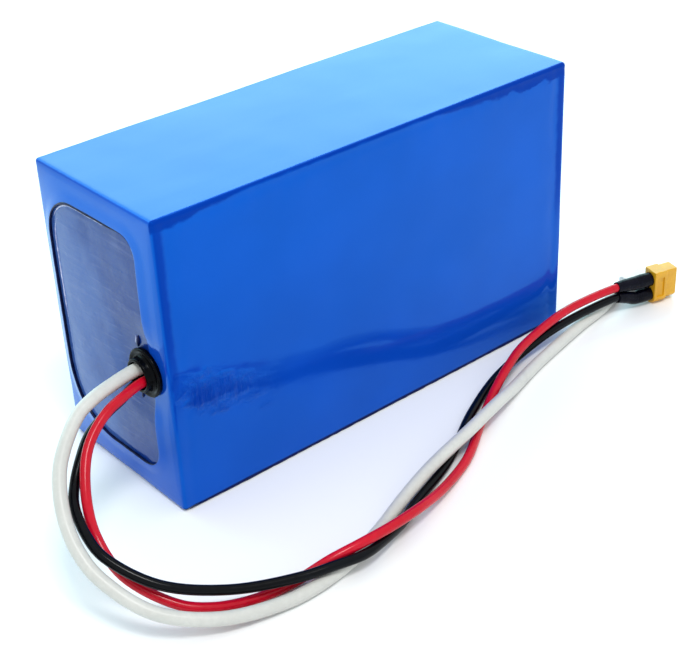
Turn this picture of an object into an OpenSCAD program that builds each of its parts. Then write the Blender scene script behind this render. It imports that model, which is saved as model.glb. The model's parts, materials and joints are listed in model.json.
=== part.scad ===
// Rechargeable battery pack: sixty round cells in a heat-shrunk sleeve, with flying output leads.
// Millimetres. Origin at the centre of the pack's underside, +X along its length, +Z up.
// The cable end is at -X. "Front" is the -Y side and "back" is the +Y side.

/* [Pack] */
// Length of the wrapped pack
pack_l = 200; // [200:1:206]
// Width of the wrapped pack
pack_w = 75; // [75:0.5:80]
// Height of the wrapped pack
pack_h = 119; // [119:0.5:124]
// Radius of the wrap's long edges
edge_r = 2.5; // [2.5:0.5:5]
// Thickness of the shrunk wrap
wrap_t = 0.4; // [0.3:0.1:0.4]
// Thickness of the stiff insulating boards
board_t = 1.1; // [0.8:0.1:1.1]

/* [Cells] */
// Diameter of one cell with its sleeve
cell_d = 18.4; // [18.2:0.1:18.4]
// Length of one cell over its button
cell_l = 65.2; // [65:0.1:65.2]
// Centre distance between neighbouring cells
cell_pitch = 18.6; // [18.5:0.05:18.6]
// Thickness of the nickel plates
nickel_t = 0.3; // [0.15:0.05:0.3]

/* [Grommet] */
// Height of the cable entry above the underside
entry_z = 55.5; // [50:0.5:60]
// Distance of the cable entry in front of the middle of the pack
entry_y = 24; // [20:0.5:26]
// Outer radius of the grommet's flange
grommet_r = 9.5; // [9:0.25:11]
// Radius of the grommet's bore
grommet_bore_r = 5.2; // [5.1:0.1:5.5]

/* [Cords] */
// Diameter of the red and black output wires
wire_d = 3.7; // [3.5:0.1:3.7]
// Diameter of the grey charge cable
cable_d = 5; // [4.8:0.1:5]

/* [Output connector] */
// Height of the two-pole connector as it stands on its narrow side
plug_h = 16; // [15.6:0.1:16]
// Thickness of the connector's rear block
plug_t = 8.1; // [7.8:0.1:8.4]
// Length of the connector's rear block
plug_rear_l = 6.2; // [6:0.1:7]
// Length of the connector's mating part
plug_front_l = 5.6; // [5:0.1:6.5]
// Distance between the two contacts
contact_pitch = 7.2; // [7:0.1:7.4]
// Radius of the hole in each contact
contact_bore_r = 1.75; // [1.5:0.05:1.75]

/* [Charge plug] */
// Length of the small charge plug
charge_l = 14; // [12:0.5:14]
// Width of the small charge plug
charge_w = 7.6; // [7.2:0.1:8]
// Height of the small charge plug
charge_h = 5.6; // [5.4:0.1:6]

/* [Hidden] */
$fn = 48;
hull_fn = 32;

// Clearance between pieces that lie against each other
gap = 0.1;
cols = 10;
rows = 6;
col_x0 = pack_l / 2 - wrap_t - board_t - 3 * gap - cell_pitch * (cols - 0.5);
row_z0 = 3.7 + cell_pitch / 2;
function col_x(c) = col_x0 + c * cell_pitch;
function row_z(r) = row_z0 + r * cell_pitch;
block_end_x = col_x(0) - cell_pitch / 2;
cells_top = row_z(rows - 1) + cell_pitch / 2;
button_r = 2.8;
button_h = 0.7;
can_edge_r = 0.8;

// Layers outside the cell ends, measured from the middle plane
plate_y = cell_l / 2 + 0.05;
paper_y = plate_y + nickel_t + 0.15;
paper_t = 0.2;
tape_y = paper_y + paper_t + 0.05;
tape_t = 0.15;
foam_y = tape_y + tape_t + gap;
board_y = pack_w / 2 - wrap_t - gap - board_t;
foam_side_t = board_y - gap - foam_y;
// Side foam stops here, so that the balance wires have a channel above it
channel_z = 111;

// Boards stop here, short of the wrap's round edges
board_inset = edge_r;
// Pads and papers stop this far inside the block of cells
pad_inset = 2;
paper_inset = 1;
pad_low_z = 6;

// Tape bands round the block lie between the balance taps
band_w = 15.5;
band_x = [-49, 44];

// Balance wires run beside the plates' top edge
harness_r = 1.1;
harness_y = plate_y + nickel_t + 1.75;
tap_r = 0.5;

// Window that the wrap leaves open at each end
window_front_y = -26.5;
window_back_y = 30;
window_low_z = 10.5;
window_high_z = 108;
window_front_top_r = 8;
window_back_top_r = 14;
window_front_low_r = 11;
window_back_low_r = 26;

// Cavity at the cable end, from the cells to the window board
window_board_x = -pack_l / 2 + wrap_t + gap;
cavity_x = block_end_x - gap;

// Protection board on the cavity's upper half
pcb_w = 60;
pcb_low_z = 66;
pcb_high_z = 114;
pcb_t = 1.6;
pcb_back_x = cavity_x - 1.6;
pcb_front_x = pcb_back_x - pcb_t;
transistor_h = 4.4;
transistor_w = 9;
transistor_pitch = 10.5;
transistor_row_z = [pcb_low_z + 9, pcb_low_z + 21];

// Grommet: neck through the window board, outer flange and collar, inner flange
neck_r = 6.5;
flange_t = 2;
flange_round_r = 0.8;
collar_r = 6.6;
collar_h = 4.6;
collar_round_r = 0.6;
inner_flange_r = 8.6;

// Positive strip from the last group to the cable entry
strip_t = 0.4;
strip_w = 8;
strip_tab_l = 4;
strip_low_z = entry_z - strip_w / 2;
strip_x = cavity_x - strip_t;

// Negative tab on the first group, and the lead from it
tab_low_z = 32;
tab_high_z = 44;
tab_y = 22;
lead_r = 1.9;
lead_x = pcb_front_x - lead_r - 0.2;

// Cores of the charge cable inside the cavity
core_r = 0.8;
core_x = pcb_front_x - core_r - 0.2;

// End boards stay clear of the wrap's round edges
end_board_inset = 6;

// Output connector: middle of its rear face, and the way its mating end points
plug_x = 140.4;
plug_y = -56.1;
plug_heading = -15;
upper_z = (plug_h + contact_pitch) / 2;
lower_z = (plug_h - contact_pitch) / 2;
cup_l = 5;
contact_r = 2.2;
contact_bore_x = 4;
plug_step = 0.7;

// Charge plug: middle of its rear face, and the way its mating end points
charge_x = 141.5;
charge_y = -41.6;
charge_heading = -4;
charge_pitch = 3.6;
charge_contact_r = 1.3;
charge_bore_r = 0.9;

// Routes of the three cords, from inside the grommet to their ends
cable_route = [
  [-96, -22.3, 57], [-105, -22.3, 57], [-114, -22.9, 56], [-123.3, -24.4, 54.8],
  [-131, -26.2, 52.3], [-143.9, -34.6, 44.3], [-149.8, -42, 38.3], [-153.8, -51, 31.3],
  [-155.2, -60, 25.2], [-154, -69, 19.7], [-145.5, -86, 11.1], [-128, -98, 5.6],
  [-104, -103.8, 2.6], [-90, -104.3, 2.5], [-74, -102.1, 2.5], [-56, -96.2, 2.5],
  [-38.9, -90.4, 4.4], [-24.5, -86.3, 6], [-11, -83.4, 7.3], [2, -80.5, 7.6],
  [15, -76.8, 7.4], [29, -72, 6], [44, -66.3, 3.4], [62, -60.3, 2.5], [82, -55.4, 2.5],
  [100, -51.4, 2.5], [118, -48.3, 2.5], [134, -43.1, 2.5]
];
red_route = [
  [-96, -26.9, 54.2], [-105, -26.9, 54.2], [-113, -28.5, 53.4], [-121.5, -30.1, 51.4],
  [-130, -33.2, 47.2], [-136.1, -37.4, 42.3], [-142.6, -45.9, 33], [-145.2, -53.8, 23.6], [-144.7, -67.6, 14.8],
  [-135, -84, 7.1], [-126, -90.4, 4.4], [-115, -94, 2.5], [-103, -96.4, 1.9],
  [-93, -97.5, 2.5], [-83.8, -101.1, 6.9], [-71.7, -104.1, 9.4], [-58.4, -104.3, 9.3],
  [-43.8, -102, 7.6], [-28.4, -97, 4.2], [-14, -91.4, 2.2], [-2, -86, 1.9],
  [23, -69.8, 1.9], [37, -62.5, 4.5], [49, -57.8, 7.6], [62, -53.3, 9.2],
  [90.6, -49.2, 11.6], [106, -49.9, 12.4], [122.5, -52, 12.6], [127.5, -52.9, 12.2],
  [132.7, -54, 11.6], [135.5, -54.8, 11.6]
];
black_route = [
  [-96, -23.5, 52.3], [-105, -23.5, 52.3], [-113, -25.4, 50.2], [-121, -26.6, 47.8],
  [-129, -28.6, 44.5], [-136, -33.3, 40.6], [-142.3, -38.6, 35.8], [-146.6, -44.3, 32.2],
  [-149.3, -55.4, 26.7], [-148.7, -64.3, 22.8], [-139, -79.8, 15.3], [-119.3, -91.9, 9.1],
  [-96, -101.5, 7.1], [-84.3, -105.1, 7.4], [-72.7, -106.8, 6.6], [-60.1, -103.7, 4.7],
  [-48.8, -99.4, 2.7], [-36.8, -93.6, 1.9], [-10, -83.1, 1.9], [19.2, -66.1, 1.9],
  [45.7, -54.7, 2.4], [74.3, -50.4, 5.4], [88.3, -50.4, 7.1], [104, -50.9, 7.8],
  [122.5, -52.5, 7.8], [127.5, -53.1, 6.3], [132.7, -54, 4.4], [135.5, -54.8, 4.4]
];
entry_in_x = cable_route[0][0];

// Sleeves over the last four points of the wires and the solder cups: radii at each place
sleeve_points = 4;
sleeve_bore_r = [2, 2, 2.15, 2.45, 2.45];
sleeve_outer_r = [2.35, 2.6, 2.8, 3, 3];

// Inside the cable end: leads from the grommet up to the protection board
black_lead_route = [
  black_route[0], black_route[0] + [1.4, 0, 0], [lead_x, -20, 51.2], [lead_x, -14.5, 53],
  [lead_x, -12, 58], [lead_x, -12, 72]
];
charge_negative_route = [
  [entry_in_x, -22.6, 58.6], [entry_in_x + 1.4, -22.6, 58.6], [-92.6, -21, 62],
  [core_x, -20, 66.5], [core_x, -20, 72]
];
charge_positive_at = [-21.2, 56.2];
negative_lead_route = [
  [strip_x, 26, 38], [strip_x - 2.5, 26, 38.6], [lead_x, 26, 42], [lead_x, 26, 56],
  [lead_x, 26, 72]
];

// Thermistor between two rows, and its lead
probe_y = 5;
probe_r = 1.7;
probe_lead_r = 0.6;
probe_z = row_z(1) + cell_pitch / 2;
probe_lead_x = pcb_front_x - probe_lead_r - 0.2;
probe_route = [
  [cavity_x + 3, probe_y, probe_z], [cavity_x - 0.5, probe_y, probe_z + 0.6],
  [cavity_x - 2.4, probe_y, probe_z + 3.5], [cavity_x - 2.8, probe_y, probe_z + 12],
  [probe_lead_x, probe_y, pcb_low_z - 4], [probe_lead_x, probe_y, pcb_low_z + 2]
];

// Where the charge cable's sheath ends, and the way it points there
sheath_end = cable_route[len(cable_route) - 1];
sheath_run = sheath_end - cable_route[len(cable_route) - 2];
sheath_heading = atan2(sheath_run[1], sheath_run[0]);

// Points of a ring of radius r about p, square to the direction t
function ring(p, t, r, sides, ref) =
  let (side = cross(t, ref) / norm(cross(t, ref)), up = cross(side, t))
  [for (i = [0:sides - 1])
    p + r * (cos(360 * i / sides) * side + sin(360 * i / sides) * up)];
// Direction of a route at its point k
function heading(route, k) =
  let (a = route[max(k - 1, 0)], b = route[min(k + 1, len(route) - 1)])
  (b - a) / norm(b - a);

// Radius at point k, from one number or a list
function radius_at(r, k) = is_list(r) ? r[k] : r;

// Round tube of radius r swept along a route
module tube(route, r, sides = 8, ref = [0, 0, 1]) {
  n = len(route);
  pts = [for (k = [0:n - 1])
    each ring(route[k], heading(route, k), radius_at(r, k), sides, ref)];
  walls = [for (k = [0:n - 2]) for (i = [0:sides - 1])
    let (a = k * sides + i, b = k * sides + (i + 1) % sides)
    each [[a, b, b + sides], [a, b + sides, a + sides]]];
  ends = [[for (i = [sides - 1:-1:0]) i], [for (i = [0:sides - 1]) (n - 1) * sides + i]];
  polyhedron(points = pts, faces = concat(walls, ends), convexity = 6);
}

// Rectangle with round corners, made of exact arcs, with its centre at the origin
module round_rect(w, h, r) {
  square([w - 2 * r, h], center = true);
  square([w, h - 2 * r], center = true);
  for (x = [-1, 1], y = [-1, 1])
    translate([x * (w / 2 - r), y * (h / 2 - r)])
      circle(r);
}

// Box from one corner to the other
module block(low, high) {
  translate(low)
    cube(high - low);
}

// Round bar along +X from its start point
module bar_x(p, length, r) {
  translate(p)
    rotate([0, 90, 0])
      cylinder(h = length, r = r);
}

// Box whose twelve edges are rounded, standing on z = 0 before the inset
module rounded_box(l, w, h, r) {
  translate([0, 0, h / 2])
    intersection() {
      rotate([90, 0, 90])
        linear_extrude(l, center = true)
          round_rect(w, h, r);
      rotate([90, 0, 0])
        linear_extrude(w, center = true)
          round_rect(l, h, r);
      linear_extrude(h, center = true)
        round_rect(l, w, r);
    }
}

// Corner of the window outline: a disc of radius r inside the corner at (y, z)
module window_corner(y, z, r, ysign, zsign) {
  translate([y - ysign * r, z - zsign * r])
    circle(r);
}

// Outline of the opening in the wrap's end, in Y and Z
module window_outline() {
  window_corner(window_front_y, window_high_z, window_front_top_r, -1, 1);
  window_corner(window_back_y, window_high_z, window_back_top_r, 1, 1);
  window_corner(window_front_y, window_low_z, window_front_low_r, -1, -1);
  window_corner(window_back_y, window_low_z, window_back_low_r, 1, -1);
  polygon([
    [window_front_y, window_low_z + window_front_low_r],
    [window_front_y + window_front_low_r, window_low_z],
    [window_back_y - window_back_low_r, window_low_z],
    [window_back_y - window_back_low_r, window_low_z + window_back_low_r],
    [window_back_y, window_low_z + window_back_low_r],
    [window_back_y, window_high_z - window_back_top_r],
    [window_back_y - window_back_top_r, window_high_z - window_back_top_r],
    [window_back_y - window_back_top_r, window_high_z],
    [window_front_y + window_front_top_r, window_high_z],
    [window_front_y + window_front_top_r, window_high_z - window_front_top_r],
    [window_front_y, window_high_z - window_front_top_r]
  ]);
}

// Hole through the cable end for the grommet's neck
module entry_hole(r) {
  bar_x([-pack_l / 2 - 5, -entry_y, entry_z], 15, r);
}

module shrink_wrap() color("royalblue") {
  difference() {
    rounded_box(pack_l, pack_w, pack_h, edge_r);
    translate([0, 0, wrap_t])
      rounded_box(pack_l - 2 * wrap_t, pack_w - 2 * wrap_t, pack_h - 2 * wrap_t,
        edge_r - wrap_t);
    rotate([90, 0, 90])
      linear_extrude(pack_l + 2, center = true)
        window_outline();
    entry_hole(neck_r + gap);
  }
}

// Board that fills the wrap's end, its corners cut to clear the wrap's round edges
module end_board(x) {
  translate([x, 0, pack_h / 2])
    rotate([90, 0, 90])
      linear_extrude(board_t)
        round_rect(pack_w - 2 * wrap_t - end_board_inset, pack_h - 2 * wrap_t - end_board_inset, 2);
}

module window_board() color("slategray") {
  difference() {
    end_board(window_board_x);
    entry_hole(neck_r + gap);
  }
}

module far_end_board() color("slategray") end_board(pack_l / 2 - wrap_t - gap - board_t);

// Flat board or pad lying above or below the cells
module flat_layer(low_z, t, inset) {
  block([block_end_x + inset, -foam_y + inset, low_z],
    [block_end_x + cell_pitch * cols - inset, foam_y - inset, low_z + t]);
}

// Board or pad standing against one side of the cells
module side_layer(side, y, t, low_z, high_z, inset) {
  block([block_end_x + inset, side > 0 ? y : -y - t, low_z],
    [block_end_x + cell_pitch * cols - inset, side > 0 ? y + t : -y, high_z]);
}

module top_board() color("dimgray")
  flat_layer(pack_h - wrap_t - gap - board_t, board_t, board_inset);
module bottom_board() color("dimgray") flat_layer(wrap_t + gap, board_t, board_inset);

// Board along one of the pack's long sides
module side_board(side) color("dimgray")
  side_layer(side, board_y, board_t, board_inset, pack_h - board_inset, board_inset);
module side_board_front() side_board(-1);
module side_board_back() side_board(1);

module foam_pad_top() color("gainsboro")
  flat_layer(cells_top + 0.3, pack_h - wrap_t - 2 * gap - board_t - cells_top - 0.3, pad_inset);
module foam_pad_bottom() color("gainsboro")
  flat_layer(wrap_t + 2 * gap + board_t, row_z0 - cell_pitch / 2 - 2 - wrap_t, pad_inset);
module foam_pad_front() color("gainsboro")
  side_layer(-1, foam_y, foam_side_t, pad_low_z, channel_z, pad_inset);

// The back pad is thinner by the positive strip that passes behind it
module foam_pad_back() color("gainsboro")
  side_layer(1, foam_y + strip_t, foam_side_t - strip_t, pad_low_z, channel_z, pad_inset);

// Paper over the plates on one side
module insulation_paper(side) {
  side_layer(side, paper_y, paper_t, pad_low_z - paper_inset, channel_z, paper_inset);
}
module insulation_paper_front() color("darkseagreen") insulation_paper(-1);

// The back paper has a slot for the positive strip's tab
module insulation_paper_back() color("darkseagreen")
  difference() {
    insulation_paper(1);
    translate([col_x(cols - 1) - strip_tab_l - gap, paper_y - 1, strip_low_z - gap])
      cube([strip_tab_l + 2 * gap, 2, strip_w + 2 * gap]);
  }

// One band of tape around the whole block of cells
module tape_band(x, w) {
  difference() {
    block([x, -tape_y - tape_t, row_z(0) - cell_pitch / 2 - 0.2],
      [x + w, tape_y + tape_t, cells_top + 0.2]);
    block([x - 1, -tape_y, row_z(0) - cell_pitch / 2 - 0.05],
      [x + w + 1, tape_y, cells_top + 0.05]);
  }
}

module fibre_tape_bands() color("khaki") {
  for (x = band_x)
    tape_band(x, band_w);
}

// One cell with its button towards +Z
module cell() {
  translate([0, 0, -cell_l / 2])
    rotate_extrude()
      polygon([[0, 0], [cell_d / 2 - can_edge_r, 0], [cell_d / 2, can_edge_r],
        [cell_d / 2, cell_l - button_h - can_edge_r],
        [cell_d / 2 - can_edge_r, cell_l - button_h], [button_r, cell_l - button_h],
        [button_r, cell_l], [0, cell_l]]);
}

// Column of cells in parallel; every other group has its buttons at the front
module cell_group(c) color("mediumseagreen")
  for (r = [0:rows - 1])
    translate([col_x(c), 0, row_z(r)])
      rotate([c % 2 == 0 ? 90 : -90, 0, 0])
        cell();

// Ring papers over the button ends of every other group
module ring_papers(first, side) color("honeydew")
  for (c = [first:2:cols - 1], r = [0:rows - 1])
    translate([col_x(c), side * (cell_l / 2 - button_h + 0.15), row_z(r)])
      rotate([90, 0, 0])
        linear_extrude(0.2, center = true)
          difference() {
            circle(cell_d / 2 - 1);
            circle(button_r + 0.4);
          }
module ring_papers_front() ring_papers(0, -1);
module ring_papers_back() ring_papers(1, 1);

// Nickel plate over the columns first to last, with a window between every four cells
module nickel_plate(first, last, side) color("silver") {
  margin = 4;
  low_x = col_x(first) - cell_pitch / 2 + margin;
  high_x = col_x(last) + cell_pitch / 2 - margin;
  y = side > 0 ? plate_y : -plate_y - nickel_t;
  difference() {
    block([low_x, y, row_z(0) - 5], [high_x, y + nickel_t, row_z(rows - 1) + 5]);
    for (r = [0:rows - 2])
      translate([(low_x + high_x) / 2, y + nickel_t / 2, row_z(r) + cell_pitch / 2])
        cube([last > first ? 10 : 4, 2 * nickel_t, 5], center = true);
  }
}

// Blobs of glue in the gap between every four cells
module glue_beads() color("ivory")
  for (c = [0:cols - 2], r = [0:rows - 2], s = [-1, 1])
    translate([col_x(c) + cell_pitch / 2, s * 28, row_z(r) + cell_pitch / 2])
      rotate([90, 0, 0])
        cylinder(h = 5, r = 3.8, center = true);

// Flat strip that brings the last group's positive plate round to the cable entry
module positive_strip() color("orangered") {
  y = foam_y - 0.05;
  high_z = strip_low_z + strip_w;
  block([strip_x, y, strip_low_z], [col_x(cols - 1), y + strip_t, high_z]);
  block([strip_x, -entry_y - 6, strip_low_z], [cavity_x, y + strip_t, high_z]);
  block([col_x(cols - 1) - strip_tab_l, plate_y + nickel_t, strip_low_z],
    [col_x(cols - 1), y, high_z]);
}

// Tab round the first group's negative plate, and the lead from it up to the protection board
module negative_lead() color("black") {
  block([strip_x, tab_y, tab_low_z], [cavity_x, plate_y + nickel_t, tab_high_z]);
  block([strip_x, plate_y, tab_low_z], [col_x(0) - 6, plate_y + nickel_t, tab_high_z]);
  tube(negative_lead_route, lead_r, 8, [0, 1, 0]);
}

// Sense wires in the channel above a side pad, with a tap to each plate and a tail to the board
module balance_harness(side, taps) color("white") {
  z = channel_z + 2.6;
  tail_x = cavity_x - 5.5;
  tube([[taps[len(taps) - 1] + 3, side * harness_y, z], [block_end_x + 4, side * harness_y, z],
    [cavity_x - 2, side * (harness_y - 0.5), z - 0.6], [tail_x, side * (harness_y - 2), z - 2],
    [tail_x - 0.8, side * (harness_y - 6), z - 3.5], [tail_x - 0.8, side * 14.6, z - 4]],
    harness_r);
  for (x = taps)
    translate([x, side * (plate_y + nickel_t), z - 0.4])
      rotate([side > 0 ? -90 : 90, 0, 0])
        cylinder(h = 1.2, r = tap_r);
}
module balance_harness_front()
  balance_harness(-1, [for (c = [0:2:cols - 2]) col_x(c) + cell_pitch / 2]);
module balance_harness_back()
  balance_harness(1, concat([col_x(0)],
    [for (c = [1:2:cols - 3]) col_x(c) + cell_pitch / 2], [col_x(cols - 1)]));

// Thermistor bead between two cells, with its lead to the protection board
module temperature_probe() color("darkorange") {
  translate([cavity_x + 3.4, probe_y, probe_z])
    sphere(probe_r);
  tube(probe_route, probe_lead_r, 8, [0, 1, 0]);
}

module protection_board() color("darkgreen")
  block([pcb_front_x, -pcb_w / 2, pcb_low_z], [pcb_back_x, pcb_w / 2, pcb_high_z]);

module board_transistors() color("dimgray")
  for (i = [-2:2], z = transistor_row_z)
    translate([pcb_front_x - transistor_h, i * transistor_pitch - transistor_w / 2, z])
      cube([transistor_h, transistor_w, transistor_w]);

module board_heat_spreader() color("lightgray")
  block([pcb_front_x - transistor_h - 2, -24, transistor_row_z[0] + 1],
    [pcb_front_x - transistor_h, 24, transistor_row_z[1] + transistor_w - 1]);

module balance_socket() color("whitesmoke")
  difference() {
    block([pcb_front_x - 4.5, -14, pcb_high_z - 9], [pcb_front_x, 14, pcb_high_z - 2]);
    block([pcb_front_x - 5, -13, pcb_high_z - 8], [pcb_front_x - 1, 13, pcb_high_z - 6.2]);
  }

module board_foam_tape() color("gainsboro")
  for (z = [pcb_low_z + 4, pcb_high_z - 14])
    block([pcb_back_x, -26, z], [cavity_x, 26, z + 10]);

// Half profile of a disc between two heights
module disc_profile(r, low, high) {
  translate([0, low])
    square([r, high - low]);
}

// Half profile of a disc with a round upper rim
module round_disc_profile(r, low, high, round_r) {
  disc_profile(r - round_r, low, high);
  disc_profile(r, low, high - round_r);
  translate([r - round_r, high - round_r])
    circle(round_r);
}

// Rubber ring in the cable end: outer flange with a raised collar, neck and inner flange
module grommet() color("black") {
  out_x = pack_l / 2;
  board_in_x = -window_board_x - board_t - gap;
  translate([0, -entry_y, entry_z])
    rotate([0, -90, 0])
      rotate_extrude()
        difference() {
          union() {
            round_disc_profile(grommet_r, out_x, out_x + flange_t, flange_round_r);
            round_disc_profile(collar_r, out_x, out_x + collar_h, collar_round_r);
            disc_profile(neck_r, board_in_x, out_x);
            disc_profile(inner_flange_r, -entry_in_x, board_in_x);
          }
          translate([-grommet_r, 0])
            square([grommet_r + grommet_bore_r, 2 * out_x]);
        }
}

// Ends of the output wires and the charge cable's cores inside the cavity
module inner_output_leads() color("firebrick") {
  inner_l = strip_x - entry_in_x;
  bar_x(red_route[0], inner_l, wire_d / 2);
  tube(black_lead_route, lead_r - 0.1, 8, [1, -0.3, 0]);
  bar_x(concat([entry_in_x], charge_positive_at), inner_l, core_r);
  tube(charge_negative_route, core_r, 8, [0, 1, 0]);
}

module red_wire() color("crimson") tube(red_route, wire_d / 2);
module black_wire() color("black") tube(black_route, wire_d / 2);
module charge_cable() color("lightgray") tube(cable_route, cable_d / 2);

// Puts a piece on the output connector's axis, with the rear face at x = 0
module at_plug() {
  translate([plug_x, plug_y, 0])
    rotate([0, 0, plug_heading])
      children();
}

// Point on a contact's axis, at a distance in front of the connector's rear face
function plug_point(x, z) =
  [plug_x + x * cos(plug_heading), plug_y + x * sin(plug_heading), z];

// Shrunk tube over the end of one wire and the contact's solder cup
module contact_sleeve(route, z) {
  first = len(route) - sleeve_points;
  way = concat([for (k = [first:len(route) - 1]) route[k]], [plug_point(-gap, z)]);
  before = way[0] - heading(way, 0);
  after = plug_point(1, z);
  bore = concat([sleeve_bore_r[0]], sleeve_bore_r, [sleeve_bore_r[sleeve_points]]);
  difference() {
    tube(way, sleeve_outer_r, 24);
    tube(concat([before], way, [after]), bore, 24);
  }
}
module red_contact_sleeve() color("black") contact_sleeve(red_route, upper_z);
module black_contact_sleeve() color("black") contact_sleeve(black_route, lower_z);

// Cross-section of the connector: a narrow box with its two lower corners cut off
module plug_outline(t, low, high, cut) {
  polygon([[-t / 2, high], [-t / 2, low + cut], [-t / 2 + cut, low],
    [t / 2 - cut, low], [t / 2, low + cut], [t / 2, high]]);
}

module connector_housing() color("gold")
  at_plug()
    difference() {
      union() {
        rotate([90, 0, 90])
          linear_extrude(plug_rear_l)
            plug_outline(plug_t, 0, plug_h, 2.4);
        rotate([90, 0, 90])
          linear_extrude(plug_rear_l + plug_front_l)
            plug_outline(plug_t - 2 * plug_step, plug_step, plug_h - plug_step, 2.2);
      }
      for (z = [lower_z, upper_z])
        bar_x([-1, 0, z], plug_rear_l + plug_front_l + 2, contact_r + 0.05);
      for (s = [-1, 1])
        translate([1.2, s * (plug_t / 2) - 0.4, 3.8])
          cube([3.8, 0.8, 9]);
    }

// Gold contacts: a solder cup behind the housing and a round socket in front
module connector_contacts() color("goldenrod")
  at_plug()
    for (z = [lower_z, upper_z])
      difference() {
        bar_x([-cup_l, 0, z], cup_l + plug_rear_l + plug_front_l - 0.2, contact_r);
        bar_x([contact_bore_x, 0, z], plug_rear_l + plug_front_l, contact_bore_r);
      }

module at_charge_plug() {
  translate([charge_x, charge_y, 0])
    rotate([0, 0, charge_heading])
      children();
}

// Shrunk boot from the end of the cable's sheath to the charge plug
module charge_boot() color("lightgray")
  hull() {
    translate(sheath_end)
      rotate([0, 90, sheath_heading])
        translate([0, 0, gap / 2])
          cylinder(h = 1, r = cable_d / 2, $fn = hull_fn);
    at_charge_plug()
      translate([-1, 0, charge_h / 2])
        rotate([0, 90, 0])
          cylinder(h = 1, r = charge_h / 2 - 0.2, $fn = hull_fn);
  }

module charge_plug_housing() color("whitesmoke")
  at_charge_plug()
    difference() {
      union() {
        block([0, -charge_w / 2, 0], [charge_l, charge_w / 2, charge_h - 0.6]);
        block([0, -charge_w / 2 + 1, 0], [charge_l, charge_w / 2 - 1, charge_h]);
      }
      for (s = [-1, 1])
        bar_x([3, s * charge_pitch / 2, charge_h / 2 - 0.3], charge_l, charge_contact_r + 0.05);
    }

module charge_plug_contacts() color("silver")
  at_charge_plug()
    for (s = [-1, 1])
      difference() {
        bar_x([3, s * charge_pitch / 2, charge_h / 2 - 0.3], charge_l - 3.2, charge_contact_r);
        bar_x([5, s * charge_pitch / 2, charge_h / 2 - 0.3], charge_l, charge_bore_r);
      }

shrink_wrap();
window_board();
far_end_board();
top_board();
bottom_board();
side_board_front();
side_board_back();
foam_pad_top();
foam_pad_bottom();
foam_pad_front();
foam_pad_back();
insulation_paper_front();
insulation_paper_back();
fibre_tape_bands();
cell_group(0);  // cell_group_01
cell_group(1);  // cell_group_02
cell_group(2);  // cell_group_03
cell_group(3);  // cell_group_04
cell_group(4);  // cell_group_05
cell_group(5);  // cell_group_06
cell_group(6);  // cell_group_07
cell_group(7);  // cell_group_08
cell_group(8);  // cell_group_09
cell_group(9);  // cell_group_10
ring_papers_front();
ring_papers_back();
nickel_plate(0, 1, -1);  // nickel_plate_front_1
nickel_plate(2, 3, -1);  // nickel_plate_front_2
nickel_plate(4, 5, -1);  // nickel_plate_front_3
nickel_plate(6, 7, -1);  // nickel_plate_front_4
nickel_plate(8, 9, -1);  // nickel_plate_front_5
nickel_plate(0, 0, 1);  // nickel_plate_back_1
nickel_plate(1, 2, 1);  // nickel_plate_back_2
nickel_plate(3, 4, 1);  // nickel_plate_back_3
nickel_plate(5, 6, 1);  // nickel_plate_back_4
nickel_plate(7, 8, 1);  // nickel_plate_back_5
nickel_plate(9, 9, 1);  // nickel_plate_back_6
glue_beads();
positive_strip();
negative_lead();
balance_harness_front();
balance_harness_back();
temperature_probe();
protection_board();
board_transistors();
board_heat_spreader();
balance_socket();
board_foam_tape();
grommet();
inner_output_leads();
red_wire();
black_wire();
charge_cable();
red_contact_sleeve();
black_contact_sleeve();
connector_housing();
connector_contacts();
charge_boot();
charge_plug_housing();
charge_plug_contacts();
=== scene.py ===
import json
import math

import bpy
from mathutils import Matrix, Vector, noise
from mathutils.geometry import tessellate_polygon


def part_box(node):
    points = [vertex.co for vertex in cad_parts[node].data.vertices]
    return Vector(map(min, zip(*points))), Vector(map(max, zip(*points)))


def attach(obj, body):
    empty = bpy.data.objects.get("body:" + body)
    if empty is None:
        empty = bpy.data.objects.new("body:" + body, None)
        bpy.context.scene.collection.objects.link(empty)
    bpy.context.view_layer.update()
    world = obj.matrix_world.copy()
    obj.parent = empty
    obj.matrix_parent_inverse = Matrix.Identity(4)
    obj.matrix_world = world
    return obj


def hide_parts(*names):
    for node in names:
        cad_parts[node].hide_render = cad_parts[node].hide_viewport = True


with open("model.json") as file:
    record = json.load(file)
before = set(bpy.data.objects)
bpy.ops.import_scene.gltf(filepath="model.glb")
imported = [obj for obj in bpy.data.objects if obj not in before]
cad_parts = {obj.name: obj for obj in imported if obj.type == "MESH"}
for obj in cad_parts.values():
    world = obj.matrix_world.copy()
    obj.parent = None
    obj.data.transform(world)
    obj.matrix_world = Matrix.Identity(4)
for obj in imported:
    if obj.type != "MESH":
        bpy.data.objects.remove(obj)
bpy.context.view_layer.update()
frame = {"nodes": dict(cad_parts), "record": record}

MM = 0.001

# ---------------------------------------------------------------- sizes taken from the frame
wrap_low, wrap_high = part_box("shrink_wrap")
PACK_L = wrap_high.x - wrap_low.x
PACK_W = wrap_high.y - wrap_low.y
PACK_H = wrap_high.z - wrap_low.z
HALF_L = PACK_L / 2
HALF_W = PACK_W / 2
MID_Z = PACK_H / 2
EDGE_R = 1.6 * MM
# The far end swells a little more than the cable end
END_X = {-1: HALF_L, 1: HALF_L + 0.9 * MM}
# The film's thickness, and how far under its bulge the foot of its cut wall lies
FILM_T = 0.44 * MM
WALL_DEPTH = 0.55 * MM
# How far under the bulge the board lies, where it comes nearest, and where a fold rests on it
BOARD_DEPTH = 0.5 * MM
BOARD_NEAREST = 0.38 * MM
FOLD_DEPTH = 0.42 * MM

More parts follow.
